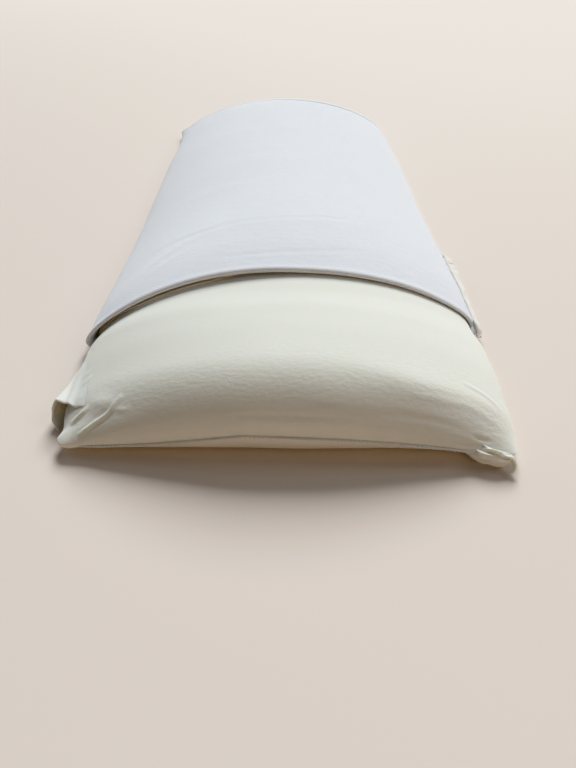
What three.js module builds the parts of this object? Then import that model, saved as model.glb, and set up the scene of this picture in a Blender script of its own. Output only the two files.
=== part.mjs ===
// A half-moon neck roll pillow, lying flat side down, with its outer cover pulled back from the near end.
// Millimetres, +Z up. The pillow runs along Y, its uncovered end towards -Y, and it rests on the plane z = 0.
import * as THREE from 'three'

// Driving dimensions
const LENGTH = 522 // of the filled cushion, end to end
const SIDE_HEIGHT = 6 // height of the widest line of the sides
const ARCH = 1.45 // how round the section is over the top: 1 is an ellipse, more is flatter at the sides
const TUCK = 12 // how far the sides draw in below that line
const COVER_CLOTH = 2.2 // the outer cover's knit
const LINER_CLOTH = 1.2 // the liner's jersey, where it stands clear of the filling
const FACING_CLOTH = 1.0 // the strip inside the hem
const GAP = 0.5 // between two pieces that lie on each other
const SQUEEZED_CLOTH = 1.2 // the cover's knit under the cushion's weight
const SQUEEZED_GAP = 0.3
const FOLD_GAP = 1.0 // between the two layers of the turned hem
const FOLD_ROUND = 3 // how far the folded edge rounds forward of its own layers
const HEM_DEPTH = 82 // from the hem's folded edge to the cut edge inside it
const HEM_CROWN = 123 // from the cushion's near end to the folded edge, over the crown
const HEM_LEFT = 95 // the same at the left side
const HEM_RIGHT = 99 // and at the right side

// The cushion along its length, at each distance from its near end: half its width, and the crown's height
const CUSHION_STATIONS = [
  { at: 0, half: 123.5, crown: 43.0 },
  { at: 30, half: 127.5, crown: 43.2 },
  { at: 62, half: 129.5, crown: 43.3 },
  { at: 84, half: 128.5, crown: 42.8 },
  { at: 108, half: 123.5, crown: 41.4 },
  { at: 150, half: 122.3, crown: 41.0 },
  { at: 200, half: 122.5, crown: 41.8 },
  { at: 300, half: 122.0, crown: 42.4 },
  { at: 400, half: 120.5, crown: 42.0 },
  { at: 470, half: 117.5, crown: 41.6 },
  { at: LENGTH, half: 115.0, crown: 41.0 }
]

// The near end: its top rounds over into a blunt nose at the liner's end seam, and its foot rounds under
const NOSE = {
  depth: 38,
  seamTop: 16,
  foot: 3,
  footDepth: 9,
  corner: 14,
  cornerDepth: 16,
  skew: 6,
  skewDepth: 150
}
// The far end: a D-shaped end face with a rounded edge
const TAIL = { depth: 16, drop: 15, pinch: 12, rise: 4 }

// The cover's far end, outside and inside: distance in front of its outer face, how far the crown drops, the
// sides draw in and the underside rises. The end seam's ridge is where the drop lessens again.
const COVER_END = {
  outside: [
    { back: 19, drop: 0, pinch: 0, rise: 0 },
    { back: 13, drop: 0.6, pinch: 0.4, rise: 0 },
    { back: 8, drop: 2.4, pinch: 1.6, rise: 0 },
    { back: 5, drop: 1.4, pinch: 0.6, rise: 0 },
    { back: 2.6, drop: 0.8, pinch: 0, rise: 0.3 },
    { back: 0.8, drop: 2.2, pinch: 1.4, rise: 1.2 },
    { back: 0, drop: 5.5, pinch: 4.5, rise: 3.2 }
  ],
  inside: [
    { back: 19, drop: 0, pinch: 0, rise: 0 },
    { back: 13, drop: 0.6, pinch: 0.4, rise: 0 },
    { back: 8, drop: 2.4, pinch: 1.6, rise: 0 },
    { back: 4, drop: 3.6, pinch: 2.4, rise: 0.6 },
    { back: 2.2, drop: 8, pinch: 6.5, rise: 4 }
  ]
}

// The cover stands off the cushion at its left, most at the hem. Angles run over the top from the right side.
const SLACK = { rise: 7.5, middle: 147, spread: 68, reach: 125 }
// The cover's far left bottom corner stands out as a small empty point
const CORNER_POINT = { out: 6, middle: 180, spread: 26, reach: 34 }

// Steps round one section: over the top, down an edge, along the flat underside
const TOP_STEPS = 28
const EDGE_STEPS = 3
const UNDER_STEPS = 6

const clamp01 = (value) => Math.min(1, Math.max(0, value))
const smooth = (value) => clamp01(value) ** 2 * (3 - 2 * clamp01(value))
const mix = (a, b, share) => a + (b - a) * share
const bell = (value) => Math.cos((Math.PI / 2) * Math.min(1, Math.abs(value))) ** 2
const toY = (from) => from - LENGTH / 2

// A quarter round's fall: 1 at the very end, 0 where it meets the straight part
const roundOver = (distance, depth) => 1 - Math.sqrt(1 - clamp01(1 - distance / depth) ** 2)

// A column of a table of stations at a place between them, eased from one station to the next
function along(stations, place, column) {
  const next = stations.findIndex((station) => station.at > place)
  if (next === 0) return stations[0][column]
  if (next < 0) return stations.at(-1)[column]
  const a = stations[next - 1]
  const b = stations[next]
  return mix(a[column], b[column], smooth((place - a.at) / (b.at - a.at)))
}

// One D-shaped section, flat below: over the top from the right side to the left, down the left edge, along
// the underside and up the right edge. degrees is the angle over the top, and share is how much of the side's
// swell a point takes, 1 above the widest line and 0 on the underside.
function section({ half, crown, under }) {
  const side = Math.max(SIDE_HEIGHT, under + 3)
  const top = Array.from({ length: TOP_STEPS + 1 }, (_, i) => {
    const turn = (Math.PI * i) / TOP_STEPS
    const z = side + (crown - side) * Math.sin(turn) ** ARCH
    return { x: half * Math.cos(turn), z, degrees: THREE.MathUtils.radToDeg(turn), share: 1 }
  })
  const edge = Array.from({ length: EDGE_STEPS }, (_, i) => {
    const turn = (Math.PI / 2) * ((i + 1) / EDGE_STEPS)
    const z = side - (side - under) * Math.sin(turn)
    return { x: half - TUCK * (1 - Math.cos(turn)), z, share: Math.cos(turn) }
  })
  const flat = Array.from({ length: UNDER_STEPS - 1 }, (_, i) => {
    const across = mix(-1, 1, (i + 1) / UNDER_STEPS)
    return { x: (half - TUCK) * across, z: under, degrees: 180, share: 0 }
  })
  const left = edge.map((point) => ({ ...point, x: -point.x, degrees: 180 }))
  const right = edge.map((point) => ({ ...point, degrees: 0 })).reverse()
  return [...top, ...left, ...flat, ...right]
}

// A closed body through rings of points, with a flat face across each end
function loft(rings) {
  const count = rings[0].length
  const last = rings.length - 1
  const points = rings.flat()
  const indices = []
  for (let r = 0; r < last; r++) {
    for (let i = 0; i < count; i++) {
      const a = r * count + i
      const b = r * count + ((i + 1) % count)
      indices.push(a, b + count, b, a, a + count, b + count)
    }
  }
  for (const r of [0, last]) {
    const outline = rings[r].map(({ x, z }) => new THREE.Vector2(x, z))
    for (const [a, b, c] of THREE.ShapeUtils.triangulateShape(outline, [])) {
      const [i, j, k] = [a, b, c].map((corner) => r * count + corner)
      indices.push(...(r === 0 ? [i, j, k] : [i, k, j]))
    }
  }
  return bodyOf(points, indices)
}

// A closed thin sheet over a grid. at(row share, column share) gives its point and its thickness direction.
function sheet(rows, columns, thickness, at) {
  const points = []
  for (const face of [0, 1]) {
    for (let r = 0; r <= rows; r++) {
      for (let c = 0; c <= columns; c++) {
        const { x, y, z, outward } = at(r / rows, c / columns)
        const by = outward.clone().multiplyScalar(face * thickness)
        points.push({ x: x + by.x, y: y + by.y, z: z + by.z })
      }
    }
  }
  // The grid may run either way round, so its faces are wound by the outward direction at its middle
  const [here, alongRow, alongColumn] = [at(0.5, 0.5), at(0.55, 0.5), at(0.5, 0.55)]
  const step = (to) => new THREE.Vector3(to.x - here.x, to.y - here.y, to.z - here.z)
  const wound = step(alongColumn).cross(step(alongRow)).dot(here.outward) > 0
  const index = (face, r, c) => (face * (rows + 1) + r) * (columns + 1) + c
  const indices = []
  const quad = (a, b, c, d) => indices.push(...(wound ? [a, b, c, a, c, d] : [a, c, b, a, d, c]))
  for (let r = 0; r < rows; r++) {
    for (let c = 0; c < columns; c++) {
      quad(index(1, r, c), index(1, r, c + 1), index(1, r + 1, c + 1), index(1, r + 1, c))
      quad(index(0, r, c), index(0, r + 1, c), index(0, r + 1, c + 1), index(0, r, c + 1))
    }
    quad(index(0, r, 0), index(1, r, 0), index(1, r + 1, 0), index(0, r + 1, 0))
    quad(index(0, r, columns), index(0, r + 1, columns), index(1, r + 1, columns), index(1, r, columns))
  }
  for (let c = 0; c < columns; c++) {
    quad(index(0, 0, c), index(0, 0, c + 1), index(1, 0, c + 1), index(1, 0, c))
    quad(index(0, rows, c), index(1, rows, c), index(1, rows, c + 1), index(0, rows, c + 1))
  }
  return bodyOf(points, indices)
}

function bodyOf(points, indices) {
  const geometry = new THREE.BufferGeometry()
  const coordinates = points.flatMap(({ x, y, z }) => [x, y, z])
  geometry.setAttribute('position', new THREE.Float32BufferAttribute(coordinates, 3))
  geometry.setIndex(indices)
  geometry.computeVertexNormals()
  return geometry
}

// The near end is cut a little askew: its right corner comes further forward than its left one
const skewed = (from, x) => toY(from) - NOSE.skew * (x / 125) * (1 - smooth(from / NOSE.skewDepth))

// The cushion's underside is on the floor where it is bare, and one or two squeezed layers up in the cover
const LAYER = SQUEEZED_CLOTH + SQUEEZED_GAP
function cushionUnder(from) {
  const ontoHem = 2 * LAYER * smooth((from - (HEM_LEFT - 21)) / 14)
  const offFold = LAYER * smooth((from - (HEM_RIGHT + HEM_DEPTH + 8)) / 30)
  return ontoHem - offFold
}

function cushionSection(from) {
  const nose = roundOver(from, NOSE.depth)
  const tail = roundOver(LENGTH - from, TAIL.depth)
  const corner = NOSE.corner * roundOver(from, NOSE.cornerDepth)
  return section({
    half: along(CUSHION_STATIONS, from, 'half') - corner - TAIL.pinch * tail,
    crown: mix(along(CUSHION_STATIONS, from, 'crown'), NOSE.seamTop, nose) - TAIL.drop * tail,
    under: cushionUnder(from) + NOSE.foot * roundOver(from, NOSE.footDepth) + TAIL.rise * tail
  })
}

// The filled cushion in its liner: one solid, rounded at the near end and D-shaped at the far one
function filledCushion() {
  const nose = [0, 0.8, 3, 7, 12, 18, 25, 32]
  const bare = [38, 50, 62, 74, 81, 88, 94]
  const covered = [100, 106, 112, 130, 150, 170, 189, 204, 219, 250, 300, 350, 385, 405, 425, 445, 465, 490]
  const tail = [16, 11, 7, 4, 1.5, 0.4, 0].map((left) => LENGTH - left)
  const ring = (from) => cushionSection(from).map(({ x, z }) => ({ x, y: skewed(from, x), z }))
  return loft([...nose, ...bare, ...covered, ...tail].map(ring))
}

// The cover's folded edge, measured from the near end at a point of the section
function hemFrom({ x, degrees, share }) {
  const rise = share * Math.sin(THREE.MathUtils.degToRad(degrees))
  if (share < 1) return mix(HEM_LEFT, HEM_RIGHT, clamp01(0.5 + x / 240))
  return x < 0 ? mix(HEM_LEFT, HEM_CROWN, rise ** 2.5) : mix(HEM_RIGHT, HEM_CROWN, rise)
}

// Past the hem's cut edge the cover settles from two layers onto one
const hemSettled = (past) => smooth((past - HEM_DEPTH - 6) / 34)

// How far the cover stands off the cushion at its left side, `past` its folded edge
const slackAt = (degrees, past) =>
  SLACK.rise * bell((degrees - SLACK.middle) / SLACK.spread) * (1 - smooth(past / SLACK.reach))

// How far its far left bottom corner stands out, `back` in front of the cover's far face
const pointAt = (degrees, back) =>
  CORNER_POINT.out *
  bell((degrees - CORNER_POINT.middle) / CORNER_POINT.spread) *
  smooth(1 - back / CORNER_POINT.reach)

// A ring of the cover: `past` its folded edge, `above` the cushion, and `below` is that face's height off the
// floor. At the far end the ring is `end.back` in front of the far face, with its drop, pinch and rise.
const COVER_REACH = LENGTH + GAP + COVER_CLOTH
const NO_END = { drop: 0, pinch: 0, rise: 0 }
function coverRing(past, above, below, end = NO_END) {
  const plain = section({ half: 123, crown: 42, under: 0 })
  return plain.map((place, i) => {
    const hem = hemFrom(place)
    const stretch = (COVER_REACH - hem) / (COVER_REACH - HEM_LEFT)
    const from = end === NO_END ? hem + past * stretch : COVER_REACH - end.back
    const half = along(CUSHION_STATIONS, from, 'half') + above - end.pinch
    const crown = along(CUSHION_STATIONS, from, 'crown') + above - end.drop
    const { x, z, degrees, share } = section({ half, crown, under: below + end.rise })[i]
    const off = share * (slackAt(degrees, from - hem) + pointAt(degrees, COVER_REACH - from))
    const turn = THREE.MathUtils.degToRad(degrees)
    return { x: x + off * Math.cos(turn), y: skewed(from, x), z: z + off * Math.sin(turn) }
  })
}

// The outer cover: a sleeve closed at the far end, its near edge turned in once as a deep hem of two layers
function outerCover() {
  const foldInside = GAP
  const foldOutside = GAP + COVER_CLOTH
  const inside = (past) => GAP + (COVER_CLOTH + FOLD_GAP) * (1 - hemSettled(past))
  const outside = (past) => inside(past) + COVER_CLOTH
  const foldInsideBelow = 2 * SQUEEZED_CLOTH + SQUEEZED_GAP
  const foldOutsideBelow = SQUEEZED_CLOTH + SQUEEZED_GAP

  const far = [385, 367, 348, 329, 310, 290, 240, 190, 150, 122, 108, 96, 88]
  const near = [70, 50, 32, 18, 9]
  const outerSkin = [...far, ...near, 4].map((past) => coverRing(past, outside(past), 0))
  const returning = [...near.toReversed(), ...far.toReversed()]
  const innerSkin = returning.map((past) => coverRing(past, inside(past), SQUEEZED_CLOTH))
  const foldedEdge = [0.18, 0.34, 0.5, 0.66, 0.82].map((share) => {
    const turn = Math.PI * share
    const middle = (outside(0) + foldInside) / 2
    const reach = (outside(0) - foldInside) / 2
    const below = (foldInsideBelow / 2) * (1 - Math.cos(turn))
    return coverRing(FOLD_ROUND * (1 - Math.sin(turn)), middle + reach * Math.cos(turn), below)
  })
  const foldUnder = [4, 18, 40, 62, HEM_DEPTH].map((past) => coverRing(past, foldInside, foldInsideBelow))
  const foldOver = [HEM_DEPTH, 62, 40, 18, 6].map((past) => coverRing(past, foldOutside, foldOutsideBelow))
  const outerEnd = COVER_END.outside.map((end) => coverRing(0, GAP + COVER_CLOTH, 0, end))
  const innerEnd = COVER_END.inside.map((end) => coverRing(0, GAP, SQUEEZED_CLOTH, end))
  const outsideIn = [outerEnd.reverse(), outerSkin, foldedEdge, foldUnder, foldOver, innerSkin, innerEnd]
  return loft(outsideIn.flat().reverse())
}

// A point of the cushion's surface at its left side, with the direction outward, for what stands off it
function leftSide(from, degrees) {
  const turn = THREE.MathUtils.degToRad(degrees)
  const { x: half } = cushionSection(from)[0]
  const crown = cushionSection(from)[TOP_STEPS / 2].z
  const x = half * Math.cos(turn)
  const z = SIDE_HEIGHT + (crown - SIDE_HEIGHT) * Math.sin(turn) ** ARCH
  const outward = new THREE.Vector3(Math.cos(turn), 0, Math.sin(turn)).normalize()
  return { x, y: skewed(from, x), z, outward }
}

// The facing: a narrow strip of thin cloth just inside the hem at the left, where the cover stands clear
const FACING = { firstDegrees: 99, lastDegrees: 176, front: -0.8, depth: 17, gap: 0.7 }
function hemFacing() {
  return sheet(4, 20, FACING_CLOTH, (row, column) => {
    const degrees = mix(FACING.firstDegrees, FACING.lastDegrees, column)
    const past = mix(FACING.front, FACING.depth, row)
    const { x, y, z, outward } = leftSide(hemFrom({ x: -1, degrees, share: 1 }) + past, degrees)
    const off = GAP + slackAt(degrees, past) - FACING.gap - FACING_CLOTH
    return { x: x + outward.x * off, y, z: z + outward.z * off, outward }
  })
}

// The liner's near left corner: empty cloth that stands off the cushion's side as a small tent, open at the
// front. Its rim, from the cushion round and down to the floor, stands out, up and forward of the side.
const LEFT_EAR = {
  front: 31,
  back: 70,
  firstDegrees: 160,
  wallFrom: 0.62,
  foot: 0.4,
  rim: [
    { at: 0, out: 0, up: 0, forward: -3 },
    { at: 0.22, out: 1, up: 6, forward: 0 },
    { at: 0.45, out: 4.5, up: 9.5, forward: 1 },
    { at: 0.7, out: 7, up: 4, forward: 3 },
    { at: 1, out: 6, up: 0, forward: 6 }
  ]
}
function leftEar() {
  const { front, back, firstDegrees, wallFrom, foot, rim } = LEFT_EAR
  return sheet(10, 12, LINER_CLOTH, (row, column) => {
    const open = (1 - smooth(row)) * (1 - row)
    const from = mix(front, back, row) - open * along(rim, column, 'forward')
    const { x, y, z, outward } = leftSide(from, mix(firstDegrees, 180, clamp01(column / wallFrom)))
    const down = clamp01((column - wallFrom) / (1 - wallFrom))
    const off = GAP + open * along(rim, column, 'out')
    const up = open * along(rim, column, 'up')
    return { x: x + outward.x * off, y, z: mix(z + outward.z * off + up, foot, down), outward }
  })
}

// The liner's near right corner: a pinched tail of cloth that curls back on itself
const RIGHT_TAIL = {
  foot: 0.4,
  height: 9,
  path: [
    { x: 90, from: -0.5 },
    { x: 103, from: -1.5 },
    { x: 113, from: -3.6 },
    { x: 119.5, from: -4.4 },
    { x: 123, from: -2 },
    { x: 123.5, from: 2 },
    { x: 121.5, from: 4.6 }
  ]
}
function rightTail() {
  const stops = RIGHT_TAIL.path.map(({ x, from }) => new THREE.Vector3(x, skewed(from, x), 0))
  const route = new THREE.CatmullRomCurve3(stops)
  return sheet(14, 2, LINER_CLOTH, (row, column) => {
    const { x, y } = route.getPoint(row)
    const forward = route.getTangent(row)
    const outward = new THREE.Vector3(forward.y, -forward.x, 0)
    const height = RIGHT_TAIL.height * mix(0.75, 1, smooth(row / 0.5))
    return { x, y, z: RIGHT_TAIL.foot + height * (1 - column), outward }
  })
}

// The side tape: a narrow strip along the cover's right side, back from the hem to a small loose tab
const SIDE_TAPE = {
  cloth: 1.4,
  gap: 0.7,
  inner: 9.5,
  outer: 5.5,
  stations: [
    { at: 101, reach: 4.0 },
    { at: 130, reach: 4.6 },
    { at: 165, reach: 5.4 },
    { at: 190, reach: 7.0 },
    { at: 202, reach: 10.0 },
    { at: 208, reach: 9.0 }
  ]
}
function sideTape() {
  const { stations, cloth, gap, inner, outer } = SIDE_TAPE
  const bandAbove = (past) => GAP + COVER_CLOTH + (COVER_CLOTH + FOLD_GAP) * (1 - hemSettled(past))
  return sheet(16, 2, cloth, (row, column) => {
    const from = mix(stations[0].at, stations.at(-1).at, row)
    const above = bandAbove(from - HEM_RIGHT)
    const half = along(CUSHION_STATIONS, from, 'half') + above
    const crown = along(CUSHION_STATIONS, from, 'crown') + above
    const turn = Math.asin(((inner - SIDE_HEIGHT) / (crown - SIDE_HEIGHT)) ** (1 / ARCH))
    const x = half * Math.cos(turn) + gap + column * along(stations, from, 'reach')
    const outward = new THREE.Vector3(inner - outer, 0, stations.at(-1).reach).normalize()
    return { x, y: skewed(from, half), z: mix(inner, outer, column), outward }
  })
}

const fabric = (color, roughness) => new THREE.MeshStandardMaterial({ color, roughness, metalness: 0 })
const liner = fabric(0xe4e5d8, 0.9)
const cover = fabric(0xdde1e5, 0.95)
const tape = fabric(0xefeeea, 0.8)

const pieces = [
  ['filled_cushion', filledCushion(), liner],
  ['liner_ear_left', leftEar(), liner],
  ['liner_tail_right', rightTail(), liner],
  ['outer_cover', outerCover(), cover],
  ['hem_facing', hemFacing(), cover],
  ['side_tape', sideTape(), tape]
]

const pillow = new THREE.Group()
for (const [name, geometry, material] of pieces) {
  const mesh = new THREE.Mesh(geometry, material)
  mesh.name = name
  pillow.add(mesh)
}

// The origin is under the middle of the whole pillow's box
const middle = new THREE.Box3().setFromObject(pillow, true).getCenter(new THREE.Vector3())
pillow.position.set(-middle.x, -middle.y, 0)
const group = new THREE.Group()
group.add(pillow)

export default group
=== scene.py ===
# A half-moon neck roll pillow: a filled cushion in a thin cream liner, lying on its flat back, with its
# knitted outer cover pulled back from the near end. Sizes are in millimetres. +X is to the right, +Y away
# from the viewer and +Z up, and distances run from the cushion's near end.
import math
import bpy
import numpy as np
from mathutils import Euler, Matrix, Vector


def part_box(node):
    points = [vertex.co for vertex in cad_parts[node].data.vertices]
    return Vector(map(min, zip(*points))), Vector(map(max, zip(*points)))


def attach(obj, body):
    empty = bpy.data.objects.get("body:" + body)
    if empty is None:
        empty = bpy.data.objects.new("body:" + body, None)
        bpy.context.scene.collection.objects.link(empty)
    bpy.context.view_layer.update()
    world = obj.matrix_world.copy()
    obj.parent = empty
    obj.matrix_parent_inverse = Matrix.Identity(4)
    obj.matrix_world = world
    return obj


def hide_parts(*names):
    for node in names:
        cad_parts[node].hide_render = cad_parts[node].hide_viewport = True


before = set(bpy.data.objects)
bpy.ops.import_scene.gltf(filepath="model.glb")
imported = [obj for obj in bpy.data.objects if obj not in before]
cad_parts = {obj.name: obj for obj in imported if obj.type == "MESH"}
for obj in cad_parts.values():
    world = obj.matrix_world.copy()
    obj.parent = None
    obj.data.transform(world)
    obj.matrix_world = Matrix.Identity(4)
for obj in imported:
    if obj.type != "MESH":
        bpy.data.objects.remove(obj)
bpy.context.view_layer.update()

# Filled cushion. A block of filling in a liner of thin cream jersey, cut and sewn as an arched top and a
# flat back. Its top rounds over into a blunt near end, where both meet in a sewn seam.
MM = 0.001
LENGTH = 522
SIDE_HEIGHT = 6
TUCK = 12
ARCH = 1.45
SKEW = {"corner": 6, "across": 125, "reach": 150}
CUSHION = [
    {"at": 0, "half": 123.5, "crown": 43.0},
    {"at": 30, "half": 127.5, "crown": 43.2},
    {"at": 62, "half": 129.5, "crown": 43.3},
    {"at": 84, "half": 128.5, "crown": 42.8},
    {"at": 108, "half": 123.5, "crown": 41.4},
    {"at": 150, "half": 122.3, "crown": 41.0},
    {"at": 200, "half": 122.5, "crown": 41.8},
    {"at": 300, "half": 122.0, "crown": 42.4},
    {"at": 400, "half": 120.5, "crown": 42.0},
    {"at": 470, "half": 117.5, "crown": 41.6},
    {"at": LENGTH, "half": 115.0, "crown": 41.0},
]
NOSE = {"depth": 37, "power": 1.8, "right_depth": 26, "right_power": 1.3, "blunter_from": 20, "over": 60}
NOSE_FOOT = {"left": 6, "right": 9, "longer_from": 5, "over": 60, "power": 1.1}
SEAM_LIP = 0.8
CORNER_ROUND, CORNER_DEPTH = 2.5, 5
POUCH = {"out": 3.4, "at": 5.5, "reach": 7.5}
FLANK = {"out": 1.6, "at": 34, "reach": 34, "degrees": 170, "spread": 34}
UNDER_HEM = {"out": 4.4, "at": 112, "before": 90, "behind": 58, "degrees": 142, "spread": 50}
# How far the cushion, and the cover with it, stands out at the right
RIGHT_SIDE = [
    {"at": 62, "out": 0},
    {"at": 84, "out": 0.8},
    {"at": 100, "out": 2.0},
    {"at": 120, "out": 2.4},
    {"at": 150, "out": 2.0},
    {"at": 180, "out": 0.4},
    {"at": 200, "out": 0},
]
RIGHT_SIDE_TURN = {"degrees": 4, "spread": 34}
FAR_END = {"depth": 16, "drop": 15, "pinch": 12, "rise": 4}
# Height of the end seam across the near end, from the left corner to the right one
SEAM_HEIGHT = [
    {"x": -124, "z": 6.0},
    {"x": -100, "z": 7.8},
    {"x": -73, "z": 10.2},
    {"x": -46, "z": 14.0},
    {"x": -24, "z": 17.2},
    {"x": -2, "z": 17.0},
    {"x": 28, "z": 16.0},
    {"x": 60, "z": 13.8},
    {"x": 88, "z": 10.6},
    {"x": 110, "z": 6.5},
]
TOP_STEPS = 56
EDGE_STEPS = 4
LAYER_BELOW = 1.5
# Where the cover's hem lies on the cushion, and how far the hem is turned in
HEM_LEFT, HEM_RIGHT, HEM_CROWN, HEM_DEPTH = 95, 103.5, 123, 82
# The cushion's back lies on the floor, then on the cover's doubled hem, then on one layer of the cover
ONTO_HEM = {"from": HEM_LEFT - 21, "over": 14}
OFF_FOLD = {"from": HEM_RIGHT + HEM_DEPTH + 8, "over": 30}
cushion_low, cushion_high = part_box("filled_cushion")
near_end = cushion_high.y / MM - LENGTH
middle_x = (cushion_low.x + cushion_high.x) / 2 / MM


def smooth(share):
    share = np.clip(share, 0, 1)
    return share * share * (3 - 2 * share)


def bell(share):
    return np.cos(np.pi / 2 * np.clip(np.abs(share), 0, 1)) ** 2


def round_over(distance, depth, power=2):
    return 1 - (1 - np.clip(1 - distance / depth, 0, 1) ** power) ** (1 / power)


def along(stations, distance, column):
    places = np.array([station["at"] for station in stations], float)
    sizes = np.array([station[column] for station in stations], float)
    i = np.clip(np.searchsorted(places, distance, side="right") - 1, 0, len(places) - 2)
    share = smooth((distance - places[i]) / (places[i + 1] - places[i]))
    return sizes[i] + (sizes[i + 1] - sizes[i]) * share


def curve_through(points, count):
    """A smooth route through a few points, as evenly spaced points."""
    p = np.array(points, float)
    p = np.vstack([2 * p[0] - p[1], p, 2 * p[-1] - p[-2]])
    route = []
    for a, b, c, d in zip(p, p[1:], p[2:], p[3:]):
        t = np.linspace(0, 1, 24, endpoint=False)[:, None]
        squared, cubed = 2 * a - 5 * b + 4 * c - d, 3 * b - a - 3 * c + d
        route.append(0.5 * (2 * b + (c - a) * t + squared * t**2 + cubed * t**3))
    route = np.vstack(route + [p[-2:-1]])
    walked = np.concatenate([[0], np.cumsum(np.linalg.norm(np.diff(route, axis=0), axis=1))])
    even = np.linspace(0, walked[-1], count)
    return np.stack([np.interp(even, walked, route[:, k]) for k in range(p.shape[1])], 1)


seam_route = curve_through([(place["x"], place["z"]) for place in SEAM_HEIGHT], 80)


def seam_height(x):
    return np.interp(x, seam_route[:, 0], seam_route[:, 1])


def to_y(distance, x):
    skew = SKEW["corner"] * (x / SKEW["across"]) * (1 - smooth(distance / SKEW["reach"]))
    return near_end + distance - skew


class Section:
    """The D-shaped section, flat below.

    Its points run over the top from the right, down the left edge, along the underside and up again.
    """

    def __init__(self, top_steps, edge_steps, under_steps):
        turn = np.linspace(0, np.pi, top_steps + 1)
        edge = np.linspace(0, np.pi / 2, edge_steps + 1)[1:]
        flat = np.linspace(-1, 1, under_steps + 1)[1:-1]
        zero, one = np.zeros_like(flat), np.ones_like(flat)
        arch = np.sin(turn) ** ARCH
        drop = 1 - np.cos(edge)
        self.half = np.concatenate([np.cos(turn), -np.ones_like(edge), flat, np.ones_like(edge)])
        self.tuck = np.concatenate([0 * turn, drop, -flat, -drop[::-1]])
        self.side = np.concatenate([1 - arch, 1 - np.sin(edge), zero, (1 - np.sin(edge))[::-1]])
        self.crown = np.concatenate([arch, 0 * edge, zero, 0 * edge])
        self.under = np.concatenate([0 * turn, np.sin(edge), one, np.sin(edge)[::-1]])
        self.turn = np.concatenate([turn, np.pi + 0 * edge, np.pi * one, 0 * edge])
        self.share = np.concatenate([1 + 0 * turn, np.cos(edge), zero, np.cos(edge)[::-1]])
        self.top = np.arange(len(self.turn)) <= top_steps
        self.count = len(self.turn)
        self.top_steps = top_steps

    def place(self, half, crown, under):
        side = np.maximum(SIDE_HEIGHT, under + 3)
        x = half * self.half + TUCK * self.tuck
        z = side * self.side + crown * self.crown + under * self.under
        return x, z


def ring_faces(rings, count):
    here = np.arange((rings - 1) * count).reshape(rings - 1, count)
    right = np.roll(here, -1, axis=1)
    return np.stack([here, here + count, right + count, right], -1).reshape(-1, 4)


def cap_faces(first, section):
    """Closes a ring with a strip of faces between its top points and the underside points below them."""
    top = np.arange(section.top_steps)
    pair = (section.count - top) % section.count
    beyond = section.count - top - 1
    return np.stack([top, top + 1, beyond, pair], -1) + first


def make_piece(name, points, faces, material):
    mesh = bpy.data.meshes.new(name)
    corners = [list(dict.fromkeys(face)) for face in faces.tolist()]
    mesh.from_pydata((np.asarray(points) * MM).tolist(), [], corners)
    mesh.validate()
    piece = bpy.data.objects.new(name, mesh)
    bpy.context.collection.objects.link(piece)
    mesh.shade_smooth()
    mesh.materials.append(material)
    return piece


def applied(piece):
    """Replaces a piece's mesh by the one its modifiers make."""
    made = bpy.data.meshes.new_from_object(piece.evaluated_get(bpy.context.evaluated_depsgraph_get()))
    piece.modifiers.clear()
    piece.data = made
    made.shade_smooth()


def read_points(piece):
    points = np.empty(len(piece.data.vertices) * 3)
    piece.data.vertices.foreach_get("co", points)
    return points.reshape(-1, 3) / MM


def write_points(piece, points):
    piece.data.vertices.foreach_set("co", (points * MM).ravel())
    piece.data.update()


def read_normals(piece):
    normals = np.empty(len(piece.data.vertices) * 3)
    piece.data.vertices.foreach_get("normal", normals)
    return normals.reshape(-1, 3)


CREASE = {"stops": 60, "near": 14, "up": -0.3, "fade": 0.6, "furrow": 0.22, "furrow_at": 1.9}


def raise_creases(piece, creases):
    """Lifts or sinks a cloth along each crease, most on its line and fading towards its ends."""
    points, normals = read_points(piece), read_normals(piece)
    lift = np.zeros(len(points))
    for crease in creases:
        stops = [(middle_x + x, to_y(distance, x), z) for x, distance, z in crease["path"]]
        route = curve_through(stops, CREASE["stops"])
        inside = ((points > route.min(0) - CREASE["near"]) & (points < route.max(0) + CREASE["near"])).all(1)
        near = np.flatnonzero(inside & (normals[:, 2] > CREASE["up"]))
        onto = points[near[np.linalg.norm(points[near, None] - route[None], axis=2).argmin(0)]]
        padded_route = np.vstack([onto[:1]] * 4 + [onto] + [onto[-1:]] * 4)
        route = np.stack([np.convolve(padded_route[:, k], np.ones(9) / 9, "valid") for k in range(3)], 1)
        apart = np.linalg.norm(points[near, None] - route[None], axis=2)
        walked = np.clip((apart.argmin(1) + 2) / (CREASE["stops"] + 3), 0, 1)
        fade = np.sin(np.pi * walked) ** CREASE["fade"]
        reach = apart.min(1) / crease["width"]
        ridge = np.exp(-(reach**2)) - CREASE["furrow"] * np.exp(-((reach - CREASE["furrow_at"]) ** 2))
        lift[near] += crease["height"] * fade * ridge
    write_points(piece, points + lift[:, None] * normals)


def right_side_out(distance, degrees):
    turned = bell((degrees - RIGHT_SIDE_TURN["degrees"]) / RIGHT_SIDE_TURN["spread"])
    return turned * along(RIGHT_SIDE, distance, "out")


def filled_out(distance, degrees):
    """How far the sides stand out: behind the near left corner, and where they bear on the cover's hem."""
    flank = bell((degrees - FLANK["degrees"]) / FLANK["spread"])
    flank = flank * bell((distance - FLANK["at"]) / FLANK["reach"])
    past = distance - UNDER_HEM["at"]
    along_hem = bell(past / np.where(past < 0, UNDER_HEM["before"], UNDER_HEM["behind"]))
    under_hem = bell((degrees - UNDER_HEM["degrees"]) / UNDER_HEM["spread"]) * along_hem
    return FLANK["out"] * flank + UNDER_HEM["out"] * under_hem + right_side_out(distance, degrees)


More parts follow.
